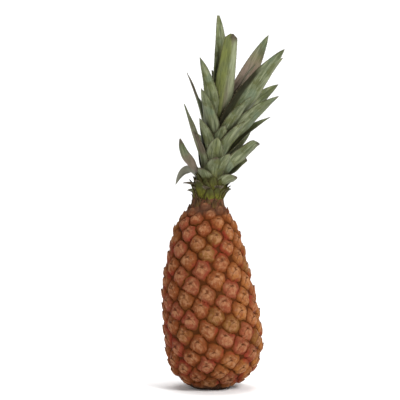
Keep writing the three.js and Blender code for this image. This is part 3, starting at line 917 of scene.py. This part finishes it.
def rind_finish(settings):
    f = Finish("Rind", 0.04)
    skin, mottle, grain = rind_colour(f, settings)
    skin = f.mix(f.times(f.look("ring"), 0.45), skin, settings.rim_colour)
    skin = f.mix(f.times(f.look("pit"), 0.8), skin, settings.seam_colour)
    cut_skin = f.mix(f.ramp(grain, 0.35, 0.65), (0.09, 0.045, 0.025), (0.025, 0.012, 0.008))
    skin = f.mix(f.look("trimmed"), skin, cut_skin)
    bumps = f.bump(mottle, 0.001, 0.5, f.bump(grain, 0.0005, 0.5))
    return f.wear(skin, f.ramp(grain, 0.3, 0.7, 0.45, 0.7), bumps)


def bract_finish(settings):
    f = Finish("Bract", 0.04)
    skin, mottle, grain = rind_colour(f, settings)
    along, side = f.look("along"), f.math("ABSOLUTE", f.look("across"))
    fibre = f.speckle(420, 3, stretch=(1, 1, 0.25))
    papery = f.coats(skin, [
        (settings.pale_colour, along, 0.45, 0.9, 0.4),
        (settings.spot_colour, fibre, 0.48, 0.7, 0.5),
    ])
    dry = f.mix(f.ramp(fibre, 0.35, 0.65), settings.rim_colour, settings.seam_colour)
    colour = f.mix(f.ramp(f.frayed(along, mottle, 0.3), 0.84, 0.98, 0, 0.9), papery, dry)
    colour = f.mix(f.times(f.ramp(side, 0.8, 1.0), f.ramp(along, 0.3, 0.7, 0, 0.4)), colour, dry)
    return f.wear(colour, f.ramp(grain, 0.3, 0.7, 0.5, 0.75), f.bump(fibre, 0.0006, 0.5))


def dry_scale_finish(name, root, tip, edge):
    f = Finish(name, 0.06)
    fibre = f.speckle(500, 3, stretch=(1, 1, 0.2))
    colour = f.coats(f.mix(f.ramp(f.look("along"), 0.1, 0.8), root, tip), [
        (edge, f.math("ABSOLUTE", f.look("across")), 0.55, 1.0, 0.8),
        ((0.02, 0.01, 0.006), fibre, 0.35, 0.7, 0.5),
    ])
    return f.wear(colour, f.ramp(fibre, 0.3, 0.7, 0.6, 0.85), f.bump(fibre, 0.0005, 0.6))


def stalk_finish():
    f = Finish("Cut stalk", 0.15)
    dots, fibre = f.node("ShaderNodeTexVoronoi", {"Vector": f.place, "Scale": 900}), f.speckle(350, 4)
    colour = f.mix(f.ramp(dots, 0.15, 0.5), (0.16, 0.09, 0.045), (0.5, 0.4, 0.25))
    colour = f.mix(f.ramp(fibre, 0.4, 0.7, 0, 0.6), colour, (0.22, 0.14, 0.08))
    return f.wear(colour, f.ramp(fibre, 0.3, 0.7, 0.75, 0.95), f.bump(dots, 0.0008, 0.7))


def drawn_out(f, scale, detail, stretch, other=0.0):
    """Speckles drawn out along a leaf, drawn anew for each leaf's tone."""
    draw = f.math("ADD", f.look("tone"), other)
    place = {"X": f.look("span"), "Y": f.times(f.look("run"), stretch), "Z": draw}
    return f.speckle(scale, detail, f.node("ShaderNodeCombineXYZ", place))


def leaf_finish(settings):
    f = Finish("Leaf blade", 0.14)
    veins, streaks = drawn_out(f, 1500, 3, 0.05), drawn_out(f, 260, 3, 0.15)
    stripes, patch = drawn_out(f, 380, 2, 0.1, 3), f.speckle(45, 3)
    green = f.coats(f.mix(f.ramp(f.look("tone"), 0.1, 0.9), settings.leaf_colour, settings.leaf_light), [
        (settings.bloom_colour, f.look("inward"), 1.0, 0.0, 0.25),
        (settings.bloom_colour, streaks, 0.44, 0.62, 0.75),
        (settings.yellow_colour, patch, 0.5, 0.72, 0.5),
        (settings.stripe_colour, stripes, 0.5, 0.66, 0.6),
        (settings.stripe_colour, patch, 0.46, 0.3, 0.45),
        (settings.cool_colour, f.speckle(34, 2), 0.52, 0.66, 0.5),
        (settings.mottle_colour, f.speckle(95, 3), 0.53, 0.64, 0.6),
    ])
    gold = f.times(f.look("gold"), f.ramp(streaks, 0.35, 0.6, 0.4, 0.9))
    green = f.mix(gold, green, settings.yellow_colour)
    blush = f.times(f.look("blush"), f.ramp(streaks, 0.3, 0.6, 0.55, 0.95))
    green = f.mix(blush, green, settings.blush_colour)
    # Leaf bases near the stem: painted shade on the upper leaves, the foot's own olive colour on the lowest
    foot = f.mix(f.ramp(f.look("age"), 0.3, 0.0), settings.painted_shade_colour, settings.foot_colour)
    green = f.mix(f.times(f.look("deep"), 0.8), green, foot)
    # Painted shade: points hemmed in by other leaves are darkened
    green = f.mix(f.ramp(f.look("crowded"), 0.4, 0.95, 0, 0.85), green, settings.painted_shade_colour)
    # Painted highlight: pale stripes along rolled margins, in bloom colour
    green = f.mix(f.times(f.look("roll"), 0.85), green, settings.bloom_colour)
    green = f.mix(f.times(f.look("shadow"), 0.97), green, settings.shadow_colour)
    green = f.coats(green, [
        ((0.035, 0.04, 0.018), veins, 0.44, 0.66, 0.55),
        # Painted shade: dark margins stand for the dark gaps between the leaves
        ((0.032, 0.025, 0.010), f.math("ABSOLUTE", f.look("across")), 0.86, 1.0, 0.6),
    ])
    limit = f.math("SUBTRACT", 1.0, f.look("dry"))
    beyond = f.math("SUBTRACT", f.frayed(f.look("along"), streaks, 0.22), limit)
    straw = f.mix(f.look("pale"), (0.055, 0.038, 0.024), (0.18, 0.18, 0.14))
    straw = f.mix(f.ramp(veins, 0.4, 0.7, 0, 0.5), straw, (0.2, 0.17, 0.12))
    colour = f.mix(f.times(f.ramp(beyond, -0.03, 0.1), 0.9), green, straw)
    normal = f.bump(streaks, 0.0012, 0.25, f.bump(veins, 0.0005, 0.55))
    return f.wear(colour, f.ramp(streaks, 0.3, 0.7, 0.42, 0.62), normal)


def stem_finish():
    f = Finish("Leafy stem", 0.25)
    fibre = f.speckle(300, 3, stretch=(1, 1, 0.25))
    colour = f.mix(f.ramp(fibre, 0.35, 0.65), (0.12, 0.12, 0.045), (0.24, 0.22, 0.1))
    return f.wear(colour, f.ramp(fibre, 0.3, 0.7, 0.55, 0.8), f.bump(fibre, 0.0006, 0.5))


def spine_finish():
    f = Finish("Leaf spine", 0.3)
    grain = f.speckle(600, 2)
    colour = f.mix(f.ramp(grain, 0.35, 0.65), (0.14, 0.09, 0.05), (0.3, 0.24, 0.14))
    return f.wear(colour, f.ramp(grain, 0.3, 0.7, 0.45, 0.7), f.bump(grain, 0.0002, 0.4))


def floor_finish(colour):
    f = Finish("Pale floor", 0.1)
    grain = f.speckle(60, 2)
    tone = f.mix(f.ramp(grain, 0.3, 0.7), colour, [c * 0.99 for c in colour])
    return f.wear(tone, f.ramp(grain, 0.3, 0.7, 0.8, 0.9))


# What a user would change

def colour_setting(name, description, default):
    return bpy.props.FloatVectorProperty(
        name=name, description=description, default=default, subtype="COLOR", size=3, min=0, max=1
    )


def length_setting(name, description, millimetres):
    return bpy.props.FloatProperty(
        name=name, description=description, default=millimetres * MM, unit="LENGTH"
    )


def power_setting(name, description, watts):
    return bpy.props.FloatProperty(name=name, description=description, default=watts, unit="POWER")


class PineappleFruitSettings(bpy.types.PropertyGroup):
    groove_depth: length_setting("Groove depth", "Depth of the grooves between the eyes", 3.2)
    bract_lip: length_setting("Bract lip", "How far an eye's bract stands proud", 0.75)
    point_lift: length_setting("Point lift", "How far a bract's dry point curls off the eye", 1.5)
    seed: bpy.props.IntProperty(name="Seed", description="Draw of the eyes' own tones and waver", default=11)
    eye_colour: colour_setting("Eye colour", "Eyes on the less ripe side", (0.170, 0.045, 0.012))
    # Also painted light: the side towards the main light is painted lighter
    ripe_lit_colour: colour_setting("Ripe colour", "Eyes on the riper side", (0.300, 0.112, 0.026))
    green_colour: colour_setting("Green colour", "Eyes that ripen last", (0.140, 0.066, 0.014))
    pink_colour: colour_setting("Pink colour", "Eyes with a rosy bloom", (0.205, 0.044, 0.026))
    # Also the painted highlight in the eyes' middles
    pale_colour: colour_setting("Pale colour", "Middles of the eyes", (0.325, 0.158, 0.076))
    spot_colour: colour_setting("Spot colour", "Spots and flushes on the eyes", (0.120, 0.020, 0.008))
    # Also the painted shade towards each eye's rim
    rim_colour: colour_setting("Rim colour", "Folds round the eyes' middles", (0.075, 0.019, 0.007))
    neck_colour: colour_setting("Neck colour", "The rind close under the crown", (0.070, 0.034, 0.020))
    olive_colour: colour_setting("Olive colour", "Grooves that are still green", (0.105, 0.045, 0.005))
    red_colour: colour_setting("Red colour", "Grooves that flush red", (0.195, 0.020, 0.013))
    groove_colour: colour_setting("Groove colour", "Grooves between the eyes", (0.145, 0.034, 0.004))
    # Also the painted shade along the grooves' lowest lines
    seam_colour: colour_setting("Seam colour", "The lowest line of a groove", (0.058, 0.015, 0.003))


class PineappleScaleSettings(bpy.types.PropertyGroup):
    neck_root: colour_setting("Neck root", "Roots of the neck's scales", (0.095, 0.052, 0.016))
    neck_tip: colour_setting("Neck tip", "Tips of the neck's scales", (0.040, 0.020, 0.009))
    neck_edge: colour_setting("Neck edge", "Edges of the neck's scales", (0.10, 0.07, 0.030))
    foot_root: colour_setting("Foot root", "Roots of the scales at the crown's foot", (0.110, 0.108, 0.014))
    foot_tip: colour_setting("Foot tip", "Tips of the scales at the crown's foot", (0.058, 0.062, 0.018))
    foot_edge: colour_setting("Foot edge", "Edges of the scales at the crown's foot", (0.034, 0.022, 0.007))


class PineappleCrownSettings(bpy.types.PropertyGroup):
    seed: bpy.props.IntProperty(name="Seed", description="Draw of the leaves' sway and tone", default=5)
    spine_spacing: length_setting("Spine spacing", "Distance between spines on a leaf's edge", 5)
    spine_length: length_setting("Spine length", "Length of a spine", 0.9)
    leaf_colour: colour_setting("Leaf colour", "Darker leaves", (0.066, 0.080, 0.031))
    leaf_light: colour_setting("Light leaf colour", "Lighter leaves", (0.138, 0.154, 0.068))
    # Also the painted highlight along rolled margins
    bloom_colour: colour_setting("Bloom colour", "Grey bloom along the leaves", (0.252, 0.272, 0.162))
    cool_colour: colour_setting("Cool colour", "Bluish patches on the leaves", (0.105, 0.150, 0.098))
    mottle_colour: colour_setting("Mottle colour", "Olive blots on the leaves", (0.078, 0.082, 0.020))
    shadow_colour: colour_setting("Shadow colour", "The darkest side of a shaded leaf", (0.009, 0.007, 0.001))
    stripe_colour: colour_setting("Stripe colour", "Dark stripes along the leaves", (0.040, 0.052, 0.018))
    yellow_colour: colour_setting("Yellow green", "Patches that turn yellow", (0.150, 0.165, 0.040))
    blush_colour: colour_setting("Blush colour", "Purple flush inside some leaves", (0.190, 0.135, 0.105))
    foot_colour: colour_setting("Foot colour", "Where the low leaves are rooted", (0.100, 0.095, 0.018))
    # Painted shade, deep between the leaves and where they hem each other in
    painted_shade_colour: colour_setting("Deep colour", "Deep between the leaves", (0.018, 0.014, 0.004))


class PineappleStageSettings(bpy.types.PropertyGroup):
    floor_colour: colour_setting("Floor colour", "The pale floor and its backdrop", (0.93, 0.93, 0.93))
    light_power: power_setting("Light power", "Power of the main soft light", 34.0)
    backdrop_power: power_setting("Backdrop power", "Power of the light on the backdrop", 40.0)
    sky_strength: bpy.props.FloatProperty(
        name="Sky strength", description="Strength of the even light from all round", default=0.36
    )


# Operators, one for each piece or group of like pieces

class PINEAPPLE_OT_fruit(bpy.types.Operator):
    """Build the fruit's skin with its eyes, grooves and trimmed base"""

    bl_idname = "pineapple.fruit"
    bl_label = "Fruit"

    def execute(self, context):
        settings = context.scene.pineapple_fruit
        finish_piece(fruit_skin(settings), rind_finish(settings), "rind", "fruit")
        return {"FINISHED"}


class PINEAPPLE_OT_bracts(bpy.types.Operator):
    """Lay a bract with a dry point over the lower half of every eye"""

    bl_idname = "pineapple.bracts"
    bl_label = "Bracts"

    def execute(self, context):
        settings = context.scene.pineapple_fruit
        finish_piece(bract_flaps(settings), bract_finish(settings), "rind", "fruit")
        return {"FINISHED"}


class PINEAPPLE_OT_neck_scales(bpy.types.Operator):
    """Set the narrow dry scales round the neck, where the rind ends under the crown"""

    bl_idname = "pineapple.neck_scales"
    bl_label = "Neck scales"

    def execute(self, context):
        settings = context.scene.pineapple_scales
        k = np.arange(SCALE_COUNT)
        height = lerp(*NECK_SCALE_ROOTS, (k * 9 % SCALE_COUNT) / (SCALE_COUNT - 1))
        points, normals = FRUIT.surface(FRUIT.along_at(height), k * GOLDEN_TURN)
        sides = sideways(k * GOLDEN_TURN)
        ups = unit(np.cross(normals, sides) + UP)
        points = FRUIT.stand(points - normals * NECK_SCALE_SINK)
        outs, sizes = np.cross(sides, ups), NECK_SCALE_SIZES
        finish = dry_scale_finish("Neck scale", settings.neck_root, settings.neck_tip, settings.neck_edge)
        set_out_scales("neck_scales", NECK_SCALE, points, outs, ups, sizes, finish, "rind")
        return {"FINISHED"}


class PINEAPPLE_OT_foot_scales(bpy.types.Operator):
    """Set the short leaf bases that clothe the crown's stem at its foot"""

    bl_idname = "pineapple.foot_scales"
    bl_label = "Foot scales"

    def execute(self, context):
        settings = context.scene.pineapple_scales
        k = np.arange(SCALE_COUNT)
        height = lerp(*FOOT_SCALE_ROOTS, k / (SCALE_COUNT - 1))
        out = outward(k * GOLDEN_TURN)
        radius = np.interp(height, [z for r, z in STEM_PROFILE], [r for r, z in STEM_PROFILE])
        points = on_crown(out * (radius + FOOT_SCALE_LIFT)[:, None] + UP * height[:, None])
        share = smooth(height, 0, FOOT_SCALE_ROOTS[1])[:, None]
        slope = lerp(-FOOT_SCALE_SLOPE, FOOT_SCALE_SLOPE, share)
        outs, ups = unit(out + UP * slope) @ CROWN_TURN.T, unit(UP - out * slope) @ CROWN_TURN.T
        finish = dry_scale_finish("Foot scale", settings.foot_root, settings.foot_tip, settings.foot_edge)
        set_out_scales("foot_scales", FOOT_SCALE, points, outs, ups, FOOT_SCALE_SIZES, finish, "crown_leaf")
        return {"FINISHED"}


class PINEAPPLE_OT_stalk_end(bpy.types.Operator):
    """Build the cut end of the stalk in the middle of the base"""

    bl_idname = "pineapple.stalk_end"
    bl_label = "Stalk end"

    def execute(self, context):
        finish_piece(stalk_cut(), stalk_finish(), "cut_stalk", "stalk_end")
        return {"FINISHED"}


class PINEAPPLE_OT_crown(bpy.types.Operator):
    """Build the crown's leaves, its stem and the spines on the leaves' edges"""

    bl_idname = "pineapple.crown"
    bl_label = "Crown"

    def execute(self, context):
        settings = context.scene.pineapple_crown
        leaves, edges = crown_leaves(settings)
        finish_piece(leaves, leaf_finish(settings), "crown_leaf", "crown")
        finish_piece(crown_stem(), stem_finish(), "crown_leaf", "crown")
        finish_piece(leaf_spines(edges, settings), None, "crown_leaf")
        return {"FINISHED"}


class PINEAPPLE_OT_stage(bpy.types.Operator):
    """Set the pale floor, the soft studio light and the camera"""

    bl_idname = "pineapple.stage"
    bl_label = "Stage"

    def execute(self, context):
        settings = context.scene.pineapple_stage
        self.floor(settings)
        self.lights(settings)
        self.camera(context)
        return {"FINISHED"}

    def floor(self, settings):
        profile = [(FLOOR_FRONT, FLOOR_LOW)]
        for turn in np.linspace(0, math.pi / 2, FLOOR_BEND_STEPS + 1):
            back, up = FLOOR_BEND * math.sin(turn), FLOOR_BEND * (1 - math.cos(turn))
            profile.append((FLOOR_DEPTH + back, FLOOR_LOW + up))
        profile.append((FLOOR_DEPTH + FLOOR_BEND, BACKDROP_HEIGHT))
        points = [(x, y, z) for y, z in profile for x in (-FLOOR_WIDE, FLOOR_WIDE)]
        faces = [(2 * i, 2 * i + 1, 2 * i + 3, 2 * i + 2) for i in range(len(profile) - 1)]
        floor = piece_from("floor", points, faces)
        floor.data.materials.append(floor_finish(settings.floor_colour))

    def lights(self, settings):
        for name, place, share, size in LIGHTS:
            self.lamp(name, place, LIGHTS_AIM, settings.light_power * share, size)
        self.lamp("backdrop", power=settings.backdrop_power, **BACKDROP_LIGHT)
        world = bpy.data.worlds.new("Studio")
        world.use_nodes = True
        world.node_tree.nodes["Background"].inputs["Color"].default_value = (1, 1, 1, 1)
        world.node_tree.nodes["Background"].inputs["Strength"].default_value = settings.sky_strength
        bpy.context.scene.world = world

    def lamp(self, name, place, aim, power, size):
        light = bpy.data.lights.new(name, "AREA")
        light.energy = power
        light.size = size
        holder = add_object(name, light)
        holder.location = place
        holder.rotation_euler = (Vector(aim) - Vector(place)).to_track_quat("-Z", "Y").to_euler()

    def camera(self, context):
        middle = FRAME_PIXELS / 2
        aim = Vector(((middle - FOOT_PIXEL[0]) * PIXEL, 0, (FOOT_PIXEL[1] - middle) * PIXEL))
        data = bpy.data.cameras.new("camera")
        data.sensor_width = SENSOR_MM
        data.lens = SENSOR_MM * CAMERA_DISTANCE / (FRAME_PIXELS * PIXEL)
        data.dof.use_dof = False
        camera = add_object("camera", data)
        back = Vector((0, -math.cos(CAMERA_ELEVATION), math.sin(CAMERA_ELEVATION)))
        camera.location = aim + back * CAMERA_DISTANCE
        camera.rotation_euler = (-back).to_track_quat("-Z", "Y").to_euler()
        context.scene.camera = camera
        context.scene.view_settings.view_transform = "Standard"


class PINEAPPLE_PT_panel(bpy.types.Panel):
    """Lists the pineapple's pieces and their settings"""

    bl_idname = "PINEAPPLE_PT_panel"
    bl_label = "Pineapple"
    bl_space_type = "VIEW_3D"
    bl_region_type = "UI"
    bl_category = "Pineapple"

    def draw(self, context):
        for step in STEPS:
            self.layout.operator(step.bl_idname)
        for title in GROUPS:
            group = getattr(context.scene, title)
            box = self.layout.box()
            for setting in group.__annotations__:
                box.prop(group, setting)


STEPS = [
    PINEAPPLE_OT_fruit,
    PINEAPPLE_OT_bracts,
    PINEAPPLE_OT_neck_scales,
    PINEAPPLE_OT_foot_scales,
    PINEAPPLE_OT_stalk_end,
    PINEAPPLE_OT_crown,
    PINEAPPLE_OT_stage,
]
GROUPS = {
    "pineapple_fruit": PineappleFruitSettings,
    "pineapple_scales": PineappleScaleSettings,
    "pineapple_crown": PineappleCrownSettings,
    "pineapple_stage": PineappleStageSettings,
}


def register():
    for kind in (*GROUPS.values(), *STEPS, PINEAPPLE_PT_panel):
        bpy.utils.register_class(kind)
    for title, kind in GROUPS.items():
        setattr(bpy.types.Scene, title, bpy.props.PointerProperty(type=kind))


def unregister():
    for title in GROUPS:
        delattr(bpy.types.Scene, title)
    for kind in (PINEAPPLE_PT_panel, *reversed(STEPS), *GROUPS.values()):
        bpy.utils.unregister_class(kind)


def main():
    register()
    for step in STEPS:
        group, title = step.bl_idname.split(".")
        getattr(getattr(bpy.ops, group), title)()


if __name__ == "__main__":
    main()
